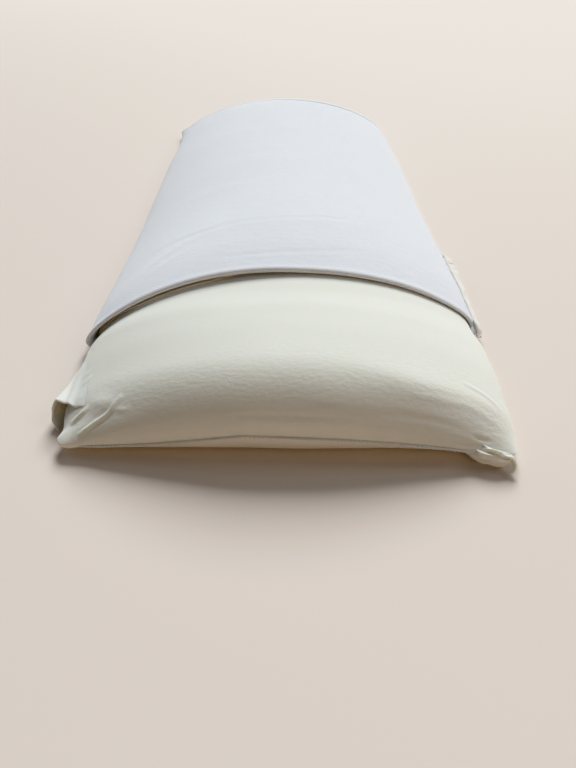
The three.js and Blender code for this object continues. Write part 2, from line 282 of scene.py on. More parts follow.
def nose_fall(distance, x):
    """How far the top has come down to the end seam, from 0 to 1. It is blunter at the right."""
    to_right = smooth((x - NOSE["blunter_from"]) / NOSE["over"])
    depth = NOSE["depth"] + (NOSE["right_depth"] - NOSE["depth"]) * to_right
    power = NOSE["power"] + (NOSE["right_power"] - NOSE["power"]) * to_right
    return round_over(distance, depth, power)


def cushion_points(section, distance):
    distance = distance[:, None]
    far_end = round_over(LENGTH - distance, FAR_END["depth"])
    crown = along(CUSHION, distance, "crown") - FAR_END["drop"] * far_end
    on_hem = 2 * LAYER_BELOW * smooth((distance - ONTO_HEM["from"]) / ONTO_HEM["over"])
    off_fold = LAYER_BELOW * smooth((distance - OFF_FOLD["from"]) / OFF_FOLD["over"])
    under = on_hem - off_fold + FAR_END["rise"] * far_end
    half = along(CUSHION, distance, "half") - FAR_END["pinch"] * far_end
    to_left = section.half < 0
    pouch = POUCH["out"] * bell((distance - POUCH["at"]) / POUCH["reach"])
    half = half + np.where(to_left, pouch, 0) - CORNER_ROUND * round_over(distance, CORNER_DEPTH)
    x, z = section.place(half, crown, under)
    bulge = section.share * filled_out(distance, np.degrees(section.turn))
    x = x + bulge * np.cos(section.turn)
    z = z + bulge * np.sin(section.turn)
    to_right = smooth((x - NOSE_FOOT["longer_from"]) / NOSE_FOOT["over"])
    foot = NOSE_FOOT["left"] + (NOSE_FOOT["right"] - NOSE_FOOT["left"]) * to_right
    fall_below = np.clip(1 - distance / foot, 0, 1) ** NOSE_FOOT["power"]
    fall = np.where(section.top, nose_fall(distance, x), fall_below)
    lip = np.where(section.top, SEAM_LIP, -SEAM_LIP)
    z = z + (seam_height(x) + lip - z) * fall
    return np.stack([middle_x + x, to_y(distance, x), z], -1)


def knit_material(name, colour, pitch, stitch_depth, crinkle, crinkle_depth, mottling, slack_end=None):
    """A fine knit: small slanted stitches, a light fuzz and a soft crinkle, deeper at a slack end."""
    material = bpy.data.materials.new(name)
    material.use_nodes = True
    nodes, link = material.node_tree.nodes, material.node_tree.links.new
    shader = nodes["Principled BSDF"]
    shader.inputs["Roughness"].default_value = 0.9
    shader.inputs["Sheen Weight"].default_value = 0.2
    shader.inputs["Sheen Roughness"].default_value = 0.5
    shader.inputs["Specular IOR Level"].default_value = 0.15
    shader.inputs["Subsurface Weight"].default_value = 0.35
    shader.inputs["Subsurface Radius"].default_value = (1.0, 0.85, 0.6)
    shader.inputs["Subsurface Scale"].default_value = 4 * MM
    place = nodes.new("ShaderNodeTexCoord")
    cloudy = nodes.new("ShaderNodeTexNoise")
    cloudy.inputs["Scale"].default_value = 16
    cloudy.inputs["Detail"].default_value = 6
    link(place.outputs["Object"], cloudy.inputs["Vector"])
    shade = nodes.new("ShaderNodeValToRGB")
    shade.color_ramp.elements[0].position = 0.3
    shade.color_ramp.elements[1].position = 0.7
    shade.color_ramp.elements[0].color = [c * (1 - mottling) for c in colour] + [1]
    shade.color_ramp.elements[1].color = list(colour) + [1]
    link(cloudy.outputs["Fac"], shade.inputs["Fac"])
    link(shade.outputs["Color"], shader.inputs["Base Color"])
    rows_per_metre = 2 * math.pi / (pitch * MM)
    height = None
    for across, turned in ((1.0, 0.62), (0.8, -0.62)):
        lie = nodes.new("ShaderNodeMapping")
        lie.inputs["Rotation"].default_value = (0, 0, turned)
        link(place.outputs["Object"], lie.inputs["Vector"])
        stitches = nodes.new("ShaderNodeTexWave")
        stitches.bands_direction = "Y"
        stitches.inputs["Scale"].default_value = rows_per_metre * across / 20
        stitches.inputs["Distortion"].default_value = 1.5
        stitches.inputs["Detail Scale"].default_value = 1.2
        link(lie.outputs["Vector"], stitches.inputs["Vector"])
        height = layered(nodes, link, height, stitches.outputs["Fac"], stitch_depth)
    fuzz = nodes.new("ShaderNodeTexNoise")
    fuzz.inputs["Scale"].default_value = 1500
    link(place.outputs["Object"], fuzz.inputs["Vector"])
    height = layered(nodes, link, height, fuzz.outputs["Fac"], stitch_depth)
    stretch = nodes.new("ShaderNodeMapping")
    stretch.inputs["Scale"].default_value = (0.6, 1, 1)
    link(place.outputs["Object"], stretch.inputs["Vector"])
    crumple = nodes.new("ShaderNodeTexNoise")
    crumple.inputs["Scale"].default_value = 1000 / crinkle
    crumple.inputs["Detail"].default_value = 3
    link(stretch.outputs["Vector"], crumple.inputs["Vector"])
    crinkled = crumple.outputs["Fac"]
    if slack_end:
        where = nodes.new("ShaderNodeSeparateXYZ")
        link(place.outputs["Object"], where.inputs["Vector"])
        slack = nodes.new("ShaderNodeMapRange")
        slack.inputs["From Min"].default_value = slack_end["slack_to"] * MM
        slack.inputs["From Max"].default_value = slack_end["tight_from"] * MM
        slack.inputs["To Min"].default_value = 1
        slack.inputs["To Max"].default_value = slack_end["left"]
        link(where.outputs["Y"], slack.inputs["Value"])
        deeper = nodes.new("ShaderNodeMath")
        deeper.operation = "MULTIPLY"
        link(crinkled, deeper.inputs[0])
        link(slack.outputs["Result"], deeper.inputs[1])
        crinkled = deeper.outputs["Value"]
    height = layered(nodes, link, height, crinkled, crinkle_depth)
    bump = nodes.new("ShaderNodeBump")
    bump.inputs["Strength"].default_value = 1
    bump.inputs["Distance"].default_value = MM
    link(height, bump.inputs["Height"])
    link(bump.outputs["Normal"], shader.inputs["Normal"])
    return material


def layered(nodes, link, below, texture, depth):
    """Adds a texture, scaled to its depth in millimetres, to the relief below it."""
    scaled = nodes.new("ShaderNodeMath")
    scaled.operation = "MULTIPLY_ADD"
    scaled.inputs[1].default_value = depth
    scaled.inputs[2].default_value = 0
    link(texture, scaled.inputs[0])
    if below is not None:
        link(below, scaled.inputs[2])
    return scaled.outputs["Value"]


def puffed(piece, held_points, most):
    """Lets a filled cloth swell under the pressure of its filling, no point further than `most`."""
    start = read_points(piece)
    held = piece.vertex_groups.new(name="held")
    held.add(np.flatnonzero(held_points).tolist(), 1.0, "REPLACE")
    cloth = piece.modifiers.new("Cloth", "CLOTH")
    cloth.settings.vertex_group_mass = "held"
    cloth.settings.use_pressure = True
    cloth.settings.uniform_pressure_force = 4
    cloth.settings.effector_weights.gravity = 0
    cloth.settings.quality = 5
    cloth.collision_settings.use_collision = False
    for step in range(1, 21):
        bpy.context.scene.frame_set(step)
    applied(piece)
    moved = read_points(piece) - start
    far = np.linalg.norm(moved, axis=1, keepdims=True)
    write_points(piece, start + moved * np.minimum(1, most / np.maximum(far, 1e-6)))
    piece.vertex_groups.clear()
    bpy.context.scene.frame_set(1)


slack_end = {"slack_to": near_end + 24, "tight_from": near_end + 52, "left": 0.22}
liner_jersey = knit_material("liner_jersey", (0.80, 0.83, 0.765), 0.9, 0.012, 2.2, 0.22, 0.03, slack_end)
cushion_section = Section(TOP_STEPS, EDGE_STEPS, TOP_STEPS - 2 * EDGE_STEPS)
bare = np.concatenate([[0, 1.0, 2.6, 5, 8, 11.5, 15.5, 20], np.arange(25, 136, 5)])
hidden = [142, 150, 160, 170, 180, 192, 205, 240, 290, 340, 390, 440]
closed_end = [475, 495, 506, 511, 515, 518, 520.5, LENGTH]
cushion_rings = np.concatenate([bare, hidden, closed_end])
points = cushion_points(cushion_section, cushion_rings)
count = cushion_section.count
last = (len(cushion_rings) - 1) * count
caps = [cap_faces(0, cushion_section), cap_faces(last, cushion_section)[:, ::-1]]
faces = np.concatenate([ring_faces(len(cushion_rings), count)] + caps)
cushion = make_piece("cushion", points.reshape(-1, 3), faces, liner_jersey)
# The filling swells the liner where it is bare, but not by the loose corner, along the seam or below
ring_of = np.repeat(cushion_rings, count)
below = np.tile(~cushion_section.top, len(cushion_rings))
near_ear = (ring_of < 80) & (np.tile(cushion_section.turn, len(cushion_rings)) > np.radians(140))
puffed(cushion, (ring_of > 92) | (ring_of < 1) | below | near_ear, most=1.6)
cushion.modifiers.new("Finer", "SUBSURF").levels = 2
applied(cushion)
LINER_CREASES = [
    {
        "width": 4.5,
        "height": 0.55,
        "path": [(-110, 22.5, 18), (-104, 20.8, 19.9), (-98, 19, 21.6), (-92, 17.4, 23.4)],
    },
    {"width": 4.5, "height": 0.8, "path": [(-126, 3.5, 6), (-121, 1, 6.5), (-113, 0.5, 7.5)]},
    {
        "width": 1.2,
        "height": 1.1,
        "path": [(-119.3, 13.3, 10.5), (-115.1, 16.2, 14.1), (-110.7, 19.7, 17.3)],
    },
    {
        "width": 1.1,
        "height": 1.2,
        "path": [
            (-113, 4.6, 10),
            (-105.4, 8.4, 15.8),
            (-98, 11.6, 20.5),
            (-95.4, 14.4, 22.4),
            (-91, 21, 25.9),
        ],
    },
    {"width": 1.6, "height": 0.3, "path": [(-95, 13.8, 22.2), (-90, 12.6, 23.4), (-85.6, 11.7, 24.5)]},
    {
        "width": 1.8,
        "height": -0.5,
        "path": [(-28.7, 4, 27.4), (-13, 4.4, 28.8), (1, 4, 28.7), (16, 3.7, 27.9), (32.6, 4, 27.4)],
    },
    {"width": 1.4, "height": -0.4, "path": [(11, 7, 31.9), (18, 7, 32), (27, 7.3, 31.7)]},
    {
        "width": 1.8,
        "height": -0.3,
        "path": [(28, 6, 30.3), (46, 6.4, 28.9), (64.6, 7.8, 27.3), (80.5, 7.5, 23.7), (95, 6, 18.8)],
    },
    {"width": 1.5, "height": -0.3, "path": [(28, 3.8, 27.4), (48.7, 3.2, 24.9), (68, 3, 22)]},
    {"width": 1.4, "height": -0.6, "path": [(86, 1.3, 16.4), (93.7, 1, 14.1), (103, 1.3, 12.3)]},
    {"width": 1.1, "height": -0.6, "path": [(99, 3.5, 16.3), (104.4, 4, 14.3), (109, 4, 12.6)]},
    {
        "width": 2.0,
        "height": 0.22,
        "path": [(64.6, 18, 32.8), (82, 18.2, 28.6), (100, 19.3, 22.8), (114.6, 15, 15.1), (119, 13, 11.7)],
    },
    {
        "width": 1.3,
        "height": 0.45,
        "path": [(98, 36, 25.5), (109.7, 33, 20.3), (116, 30, 17.1), (120.2, 26.5, 13.9)],
    },
    {"width": 1.3, "height": 0.5, "path": [(-118, 52, 17), (-122, 44, 12.5), (-125, 36, 9)]},
    {"width": 1.3, "height": 0.5, "path": [(-115, 46, 19), (-119, 38, 14), (-123, 30, 9.5)]},
]
raise_creases(cushion, LINER_CREASES)
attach(cushion, "root")
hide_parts("filled_cushion")

# End seam of the liner. The arched top and the flat back are overlocked together: a narrow raw edge that
# stands a little proud across the near end, bound by loops of thread.
SEAM = {"first": -121, "last": 109, "out": 1.2, "thick": 0.8, "thin_over": 26, "unevenness": 0.22}
STITCH = {"pitch": 2.2, "thread": 0.18, "scallop": 0.16, "sway": 0.35, "reach": 0.8, "rise": 0.55}
seam_x = np.linspace(SEAM["first"], SEAM["last"], 540)


def uneven(place, size, seed):
    """A gentle, repeatable unevenness between about -1 and 1."""
    phase = np.random.default_rng(seed).uniform(0, 2 * np.pi, 4)
    parts = enumerate((1, 0.61, 0.37, 0.23))
    waves = [np.sin(2 * np.pi * place / (size * part) + phase[k]) for k, part in parts]
    return 0.45 * waves[0] + 0.3 * waves[1] + 0.2 * waves[2] + 0.15 * waves[3]


def cloth_piece(name, grid, thickness, material, finer=1):
    """A piece of cloth through a grid of points at the middle of its thickness."""
    rows, columns = grid.shape[:2]
    here = np.arange((rows - 1) * columns).reshape(rows - 1, columns)[:, :-1]
    faces = np.stack([here, here + 1, here + columns + 1, here + columns], -1).reshape(-1, 4)
    piece = make_piece(name, grid.reshape(-1, 3), faces, material)
    body = piece.modifiers.new("Thickness", "SOLIDIFY")
    body.thickness = thickness * MM
    body.offset = 0
    piece.modifiers.new("Finer", "SUBSURF").levels = finer
    applied(piece)
    return piece


def seam_edge(out):
    """The seam's line, `out` in front of the cushion's near end."""
    droop = 0.35 * out + 0.25 * uneven(seam_x, 34, 5) * out
    return np.stack([middle_x + seam_x, to_y(0, seam_x) - out, seam_height(seam_x) - droop], -1)


thinned = 0.15 + 0.85 * smooth((seam_x - SEAM["first"]) / SEAM["thin_over"])
scallops = STITCH["scallop"] * np.sin(2 * np.pi * seam_x / STITCH["pitch"])
seam_out = SEAM["out"] * (1 + SEAM["unevenness"] * uneven(seam_x, 60, 3)) + scallops
seam_out = seam_out * thinned
seam_grid = np.stack([seam_edge(-1.5), seam_edge(0.0), seam_edge(0.5 * seam_out), seam_edge(seam_out)], 1)
end_seam = cloth_piece("end_seam", seam_grid, SEAM["thick"], liner_jersey)
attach(end_seam, "root")

loop_count = int((SEAM["last"] - SEAM["first"]) / STITCH["pitch"])
loop_steps, thread_sides = 12, 6
around = np.linspace(0, 2 * np.pi, loop_steps, endpoint=False)
side = np.linspace(0, 2 * np.pi, thread_sides, endpoint=False)
along_seam = np.array([1, 0, 0])
loop_points, loop_faces = [], []
for number in range(loop_count):
    x = SEAM["first"] + (number + 0.5) * STITCH["pitch"]
    centre = np.array([np.interp(x, seam_x, seam_grid[:, 2, k]) for k in range(3)])
    slim = np.interp(x, seam_x, thinned)
    sway = STITCH["sway"] * STITCH["pitch"] * np.sin(around)
    swing = np.stack([sway, STITCH["reach"] * slim * np.cos(around), STITCH["rise"] * np.sin(around)], -1)
    outward = np.stack([0 * around, np.cos(around), np.sin(around)], -1)
    ring = centre + swing + outward * 0.05
    for angle in side:
        round_thread = outward * math.cos(angle) + along_seam * math.sin(angle)
        loop_points.append(ring + STITCH["thread"] * round_thread)
    first = number * loop_steps * thread_sides
    for i in range(loop_steps):
        for j in range(thread_sides):
            a, b = first + j * loop_steps + i, first + j * loop_steps + (i + 1) % loop_steps
            c = first + (j + 1) % thread_sides * loop_steps + (i + 1) % loop_steps
            loop_faces.append([a, b, c, first + (j + 1) % thread_sides * loop_steps + i])
binding_thread = knit_material("binding_thread", (0.87, 0.87, 0.82), 0.6, 0.02, 1.5, 0.05, 0.02)
seam_thread = make_piece("seam_thread", np.vstack(loop_points), np.array(loop_faces), binding_thread)
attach(seam_thread, "root")

# Near left corner of the liner. The jersey is a little too big for its filling here: an empty corner stands
# off the side as a small tent, open towards the front, and its lower edge rests on the floor.
LINER_CLOTH = 1.2
EAR = {"front": 31, "back": 76, "first_degrees": 150, "wall_from": 0.62, "out_power": 2.4, "up_power": 1.7}
# How the corner's cloth runs into the cushion: shares of its width and length, and how far it sinks in
EAR_SEWN = {"across": 0.42, "along": 0.5, "sunk": 0.1, "deeper": 1.2}
EAR_FOOT = {"height": 0.4 + LINER_CLOTH / 2, "rise": 4.5, "rise_from": 0.5}
EAR_RIM = [
    {"at": 0, "out": 0, "up": 0, "forward": 11},
    {"at": 0.17, "out": 0.4, "up": 0.6, "forward": 8.5},
    {"at": 0.33, "out": 0.8, "up": 3.0, "forward": 4.5},
    {"at": 0.5, "out": 5.4, "up": 5.6, "forward": 1.5},
    {"at": 0.64, "out": 7, "up": 4, "forward": 5},
    {"at": 0.8, "out": 7, "up": 2, "forward": 10},
    {"at": 1, "out": 4.5, "up": 0, "forward": 15},
]


def left_side(distance, degrees):
    """A point of the cushion's left side, and the direction out of it."""
    turn = np.radians(degrees)
    crown = along(CUSHION, distance, "crown")
    bulge = filled_out(distance, degrees)
    x = (along(CUSHION, distance, "half") + bulge) * np.cos(turn)
    z = SIDE_HEIGHT + (crown - SIDE_HEIGHT) * np.sin(turn) ** ARCH + bulge * np.sin(turn)
    z = z + (seam_height(x) + SEAM_LIP - z) * nose_fall(distance, x)
    return x, z, np.cos(turn), np.sin(turn)


row, column = np.meshgrid(np.linspace(0, 1, 36), np.linspace(0, 1, 40), indexing="ij")
out_share = (1 - row) ** EAR["out_power"]
up_share = (1 - row) ** EAR["up_power"]
forward = up_share * along(EAR_RIM, column, "forward")
distance = EAR["front"] + (EAR["back"] - EAR["front"]) * row - forward
degrees = EAR["first_degrees"] + (180 - EAR["first_degrees"]) * np.clip(column / EAR["wall_from"], 0, 1)
x, z, out_x, out_z = left_side(distance, degrees)
down = np.clip((column - EAR["wall_from"]) / (1 - EAR["wall_from"]), 0, 1)
sewn_in = 1 - smooth(np.minimum(column / EAR_SEWN["across"], (1 - row) / EAR_SEWN["along"]))
off = -EAR_SEWN["sunk"] - EAR_SEWN["deeper"] * sewn_in + out_share * along(EAR_RIM, column, "out")
rumple = out_share * (0.4 * np.sin(9 * column + 4 * row) + 0.3 * uneven(70 * row + 40 * column, 17, 8))
x = x + out_x * (off + rumple)
risen = smooth((row - EAR_FOOT["rise_from"]) / (1 - EAR_FOOT["rise_from"]))
foot = EAR_FOOT["height"] + EAR_FOOT["rise"] * risen
z = (z + out_z * off + up_share * along(EAR_RIM, column, "up")) * (1 - down) + foot * down
ear_grid = np.stack([middle_x + x, to_y(distance, x), z], -1)
left_ear = cloth_piece("left_ear", ear_grid, LINER_CLOTH, liner_jersey)
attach(left_ear, "root")
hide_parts("liner_ear_left")

# Near right corner of the liner. Here the spare jersey is gathered and twisted into a short tail. Its thin
# tip bends over towards the front and lies on the floor.
TAIL_STOPS = [
    {"x": 97, "distance": 6, "z": 6.6, "high": 4.0, "wide": 3.0},
    {"x": 104, "distance": 1.5, "z": 5.6, "high": 4.8, "wide": 4.0},
    {"x": 110.5, "distance": -1.0, "z": 5.6, "high": 4.6, "wide": 3.6},
    {"x": 115.4, "distance": -2, "z": 5.2, "high": 3.5, "wide": 2.8},
    {"x": 118.4, "distance": -3, "z": 6.4, "high": 2.0, "wide": 1.5},
    {"x": 119.6, "distance": -6, "z": 5.2, "high": 1.4, "wide": 1.2},
    {"x": 118.2, "distance": -8.6, "z": 3, "high": 1.3, "wide": 1.1},
    {"x": 116.2, "distance": -8.8, "z": 2, "high": 1.0, "wide": 0.9},
]
stops = [[middle_x + t["x"], to_y(t["distance"], t["x"]), t["z"], t["high"], t["wide"]] for t in TAIL_STOPS]
tail_rings, tail_sides = 90, 48
tail_route = curve_through(stops, tail_rings)
heading = np.gradient(tail_route[:, :2], axis=0)
heading /= np.linalg.norm(heading, axis=1, keepdims=True)
walk = np.linspace(0, 1, tail_rings)[:, None]
angle = np.linspace(0, 2 * np.pi, tail_sides, endpoint=False)[None]
pleats = 0.2 * np.cos(6 * angle + 7 * walk) + 0.1 * np.cos(11 * angle - 12 * walk + 1)
swell = (1 + pleats * smooth(walk / 0.2)) * np.sqrt(np.clip(1 - walk**8, 0.02, 1))
aside = tail_route[:, 4:5] * swell * np.cos(angle)
above = tail_route[:, 3:4] * swell * np.sin(angle)
tail_x = tail_route[:, 0:1] + heading[:, 1:2] * aside
tail_y = tail_route[:, 1:2] - heading[:, 0:1] * aside
tail_z = np.maximum(tail_route[:, 2:3] + above, 0.3)
tail_points = np.stack([tail_x, tail_y, tail_z], -1).reshape(-1, 3)
tail_faces = ring_faces(tail_rings, tail_sides).tolist()
tail_faces += [list(range(tail_sides))[::-1], list(range(len(tail_points) - tail_sides, len(tail_points)))]
mesh = bpy.data.meshes.new("right_tail")
mesh.from_pydata((tail_points * MM).tolist(), [], tail_faces)
right_tail = bpy.data.objects.new("right_tail", mesh)
bpy.context.collection.objects.link(right_tail)
mesh.materials.append(liner_jersey)
right_tail.modifiers.new("Finer", "SUBSURF").levels = 1
applied(right_tail)
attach(right_tail, "root")
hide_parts("liner_tail_right")

# Outer cover. A sleeve of soft bluish-white knit, closed by a seam at the far end, its near edge turned in
# once as a deep hem. It has been drawn back along the cushion, and stands clear of it at the left.
COVER_CLOTH = 2.2
GAP = 0.5
SQUEEZED_CLOTH = 1.2
SQUEEZED_GAP = 0.3
FOLD_GAP = 1.0
# The folded edge: how far behind the hem's line its front lies, how long its rounding is above and below,
# and how far and over what length the outer layer comes down to it
FOLD = {"front": 1.2, "above": 3.6, "below": 3, "sunk": 1.6, "over": 46}
HEM_CURVE = {"left": 2.5, "right": 0.42}
HEM_BELOW = {"half": 123, "width": 240}
HEM_SETTLES = {"before": 10, "over": 120}
GROOVE = {"left": 0.3, "more_right": 0.7, "turns_at": 0.4}
SLACK = {"rise": 6.6, "middle": 147, "spread": 68, "reach": 125}
CORNER_POINT = {"out": 6, "middle": 180, "spread": 26, "reach": 34}
COVER_REACH = LENGTH + GAP + COVER_CLOTH
OUTER_END = [
    {"back": 19, "drop": 0, "pinch": 0, "rise": 0, "groove": 0},
    {"back": 16, "drop": 0.1, "pinch": 0.1, "rise": 0, "groove": 0},
    {"back": 13, "drop": 0.3, "pinch": 0.2, "rise": 0, "groove": 0.4},
    {"back": 10.5, "drop": 0.5, "pinch": 0.3, "rise": 0, "groove": 0.9},
    {"back": 8.4, "drop": 0.6, "pinch": 0.3, "rise": 0, "groove": 1.4},
    {"back": 7.4, "drop": 0.65, "pinch": 0.3, "rise": 0, "groove": 1.2},
    {"back": 6.4, "drop": 0.7, "pinch": 0.3, "rise": 0, "groove": 0.6},
    {"back": 5.0, "drop": 0.75, "pinch": 0.2, "rise": 0.1, "groove": 0.15},
    {"back": 3.6, "drop": 0.8, "pinch": 0.1, "rise": 0.2, "groove": 0},
    {"back": 2.2, "drop": 0.9, "pinch": 0.1, "rise": 0.4, "groove": 0},
    {"back": 1.0, "drop": 1.9, "pinch": 1.1, "rise": 1.0, "groove": 0},
    {"back": 0.3, "drop": 3.4, "pinch": 2.6, "rise": 2.0, "groove": 0},
    {"back": 0, "drop": 5.5, "pinch": 4.5, "rise": 3.2, "groove": 0},
]
INNER_END = [
    {"back": 19, "drop": 0, "pinch": 0, "rise": 0, "groove": 0},
    {"back": 13, "drop": 0.6, "pinch": 0.4, "rise": 0, "groove": 0},
    {"back": 8, "drop": 2.4, "pinch": 1.6, "rise": 0, "groove": 0},
    {"back": 4, "drop": 3.6, "pinch": 2.4, "rise": 0.6, "groove": 0},
    {"back": 2.2, "drop": 8, "pinch": 6.5, "rise": 4, "groove": 0},
]
cover_section = Section(112, 5, 44)


def hem_from(section):
    rise = section.share * np.sin(section.turn)
    plain_x = HEM_BELOW["half"] * section.half + TUCK * section.tuck
    flat = HEM_LEFT + (HEM_RIGHT - HEM_LEFT) * np.clip(0.5 + plain_x / HEM_BELOW["width"], 0, 1)
    left = HEM_LEFT + (HEM_CROWN - HEM_LEFT) * np.maximum(rise, 0) ** HEM_CURVE["left"]
    right = HEM_RIGHT + (HEM_CROWN - HEM_RIGHT) * np.maximum(rise, 0) ** HEM_CURVE["right"]
    return np.where(section.top, np.where(section.half < 0, left, right), flat)


def hem_settled(past):
    return smooth((past - HEM_DEPTH + HEM_SETTLES["before"]) / HEM_SETTLES["over"])


def slack_at(degrees, past):
    turned = bell((degrees - SLACK["middle"]) / SLACK["spread"])
    return SLACK["rise"] * turned * (1 - smooth(past / SLACK["reach"]))


def point_at(degrees, back):
    out = bell((degrees - CORNER_POINT["middle"]) / CORNER_POINT["spread"])
    return CORNER_POINT["out"] * out * smooth(1 - back / CORNER_POINT["reach"])


def cover_ring(past, above, below, end=None):
    """One ring of the cover, `past` its hem, or at the closed far end by a row of an end table."""
    hem = hem_from(cover_section)
    stretch = (COVER_REACH - hem) / (COVER_REACH - HEM_LEFT)
    end = end or {"back": None, "drop": 0, "pinch": 0, "rise": 0, "groove": 0}
    to_right = smooth(cover_section.half + GROOVE["turns_at"])
    groove = end["groove"] * (GROOVE["left"] + GROOVE["more_right"] * to_right)
    drop, pinch, rise = end["drop"] + groove, end["pinch"] + groove, end["rise"]
    distance = hem + past * stretch if end["back"] is None else COVER_REACH - end["back"] + 0 * hem
    half = along(CUSHION, distance, "half") + above - pinch
    crown = along(CUSHION, distance, "crown") + above - drop
    x, z = cover_section.place(half, crown, below + rise)
    degrees = np.degrees(cover_section.turn)
    off = slack_at(degrees, distance - hem) + point_at(degrees, COVER_REACH - distance)
    off = cover_section.share * (off + right_side_out(distance, degrees))
    x = x + off * np.cos(cover_section.turn)
    z = z + off * np.sin(cover_section.turn)
    return np.stack([middle_x + x, to_y(distance, x), z], -1)


def cover_inside(past):
    return GAP + (COVER_CLOTH + FOLD_GAP) * (1 - hem_settled(past))


def edge_sunk(past):
    """How far the outer layer comes down over the turned-in one towards the fold."""
    return FOLD["sunk"] * (1 - smooth(past / FOLD["over"]))


fold_below = 2 * SQUEEZED_CLOTH + SQUEEZED_GAP
by_fold = np.linspace(10, FOLD["above"] + FOLD["front"], 9)
outer_pasts = np.concatenate([np.linspace(390, 128, 76), np.linspace(125, 11, 58), by_fold])
rings = [cover_ring(0, GAP + COVER_CLOTH, 0, end) for end in reversed(OUTER_END)]
rings += [cover_ring(past, cover_inside(past) + COVER_CLOTH - edge_sunk(past), 0) for past in outer_pasts]
outer_edge = cover_inside(0) + COVER_CLOTH - edge_sunk(FOLD["above"] + FOLD["front"])
for share in np.linspace(0.07, 0.93, 13):
    turn = np.pi * share
    above = (outer_edge + GAP) / 2 + (outer_edge - GAP) / 2 * math.cos(turn)
    past = (FOLD["above"] if share < 0.5 else FOLD["below"]) * (1 - math.sin(turn)) + FOLD["front"]
    rings.append(cover_ring(past, above, fold_below / 2 * (1 - math.cos(turn))))
rings += [cover_ring(past, GAP, fold_below) for past in np.linspace(5, HEM_DEPTH, 18)]
fold_above = SQUEEZED_CLOTH + SQUEEZED_GAP
rings += [cover_ring(past, GAP + COVER_CLOTH, fold_above) for past in np.linspace(HEM_DEPTH, 7, 12)]
inner_pasts = np.concatenate([np.linspace(10, 125, 20), np.linspace(150, 390, 12)])
rings += [cover_ring(past, cover_inside(past), SQUEEZED_CLOTH) for past in inner_pasts]
rings += [cover_ring(0, GAP, SQUEEZED_CLOTH, end) for end in INNER_END]
rings = np.array(rings)[::-1]
count = cover_section.count


def plain_cap(first, section, flip):
    """Closes a ring with one face."""
    loop = np.arange(section.count)
    return loop + first if flip else loop[::-1] + first


cover_knit = knit_material("cover_knit", (0.785, 0.833, 0.878), 1.6, 0.035, 5.0, 0.2, 0.03)
mesh = bpy.data.meshes.new("cover")
sides = ring_faces(len(rings), count).tolist()
inner_cap = plain_cap(0, cover_section, True).tolist()
outer_cap = plain_cap((len(rings) - 1) * count, cover_section, False).tolist()
mesh.from_pydata((rings.reshape(-1, 3) * MM).tolist(), [], sides + [inner_cap, outer_cap])
cover = bpy.data.objects.new("cover", mesh)
bpy.context.collection.objects.link(cover)
mesh.shade_smooth()
mesh.materials.append(cover_knit)
# The turned hem's second layer ends along the first two of these. The next are slight folds from the
# pulling, and along the last two the cloth dips at the far end's right edge and left corner.
COVER_FOLDS = [
    {
        "width": 2.6,
        "height": -0.2,
        "path": [
            (-106, 158, 28.8),
            (-100, 172, 30),
            (-83, 178, 37),
            (-62, 185, 41),
            (-32, 193, 46),
            (-3, 195, 47.7),
        ],
    },
    {
        "width": 2.2,
        "height": -0.16,
        "path": [(-8, 195, 47.6), (14, 197, 47.2), (35, 198.4, 45.5), (81, 201.6, 35)],
    },
    {
        "width": 2.0,
        "height": -0.16,
        "path": [
            (-50, 140.8, 45.3),
            (-30, 142, 47.3),
            (-3, 146, 47.5),
            (25, 148.4, 45.9),
            (59, 155.5, 40.7),
        ],
    },
    {
        "width": 5.0,
        "height": 0.45,
        "path": [(-110, 123, 28), (-105, 136, 31), (-98, 150, 33), (-84, 164, 38), (-68, 175, 41.5)],
    },
    {
        "width": 4.0,
        "height": 0.3,
        "path": [(-104, 122, 32), (-92, 138, 36), (-79, 152, 39.4), (-60, 166, 43)],
    },
    {
        "width": 8.0,
        "height": 0.15,
        "path": [(-112, 250, 20), (-84, 262, 34), (-50, 268, 42), (-10, 270, 44)],
    },
    {"width": 9.0, "height": -0.15, "path": [(-70, 338, 38), (-20, 342, 44), (40, 340, 42), (90, 332, 30)]},
    {"width": 8.0, "height": 0.12, "path": [(-104, 402, 22), (-60, 410, 39), (0, 414, 44), (60, 410, 38)]},
    {
        "width": 1.3,
        "height": -1.1,
        "path": [(111, 517, 18), (116.5, 480, 15.5), (118.8, 440, 15), (120.5, 400, 14.5)],
    },
    {"width": 2.0, "height": -0.8, "path": [(-119, 497, 12), (-117, 508, 17), (-112, 517, 22)]},
]
raise_creases(cover, COVER_FOLDS)
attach(cover, "root")
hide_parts("outer_cover")

# Facing of the hem. A strip of unbleached cotton sewn just inside the folded edge, which shows at the left
# where the cover stands clear of the cushion. Its loose edge hangs a little below the fold.
FACING = {"first": 99, "last": 176, "front": 2.2, "depth": 19, "gap": 0.7, "thick": 1.0, "hang": 0.4}
FACING_CLEAR = 0.4
# How much narrower the strip is towards the crown and down the side, and over what shares of its length
FACING_ENDS = {"crown": 5, "crown_over": 0.22, "side": 7, "side_from": 0.45, "side_over": 0.25}
facing_cotton = knit_material("facing_cotton", (0.92, 0.89, 0.76), 1.2, 0.03, 4.0, 0.2, 0.06)
row, column = np.meshgrid(np.linspace(0, 1, 14), np.linspace(0, 1, 120), indexing="ij")
degrees = FACING["first"] + (FACING["last"] - FACING["first"]) * column
front = FACING["front"] + FACING_ENDS["crown"] * smooth(1 - column / FACING_ENDS["crown_over"])
front = front + FACING_ENDS["side"] * smooth((column - FACING_ENDS["side_from"]) / FACING_ENDS["side_over"])
past = front + (FACING["depth"] - front) * row
rise = np.sin(np.radians(degrees))
distance = HEM_LEFT + (HEM_CROWN - HEM_LEFT) * rise ** HEM_CURVE["left"] + past
x, z, out_x, out_z = left_side(distance, degrees)
slack = slack_at(degrees, past)
hang = FACING["hang"] * (1 - smooth(row / 0.5)) * slack
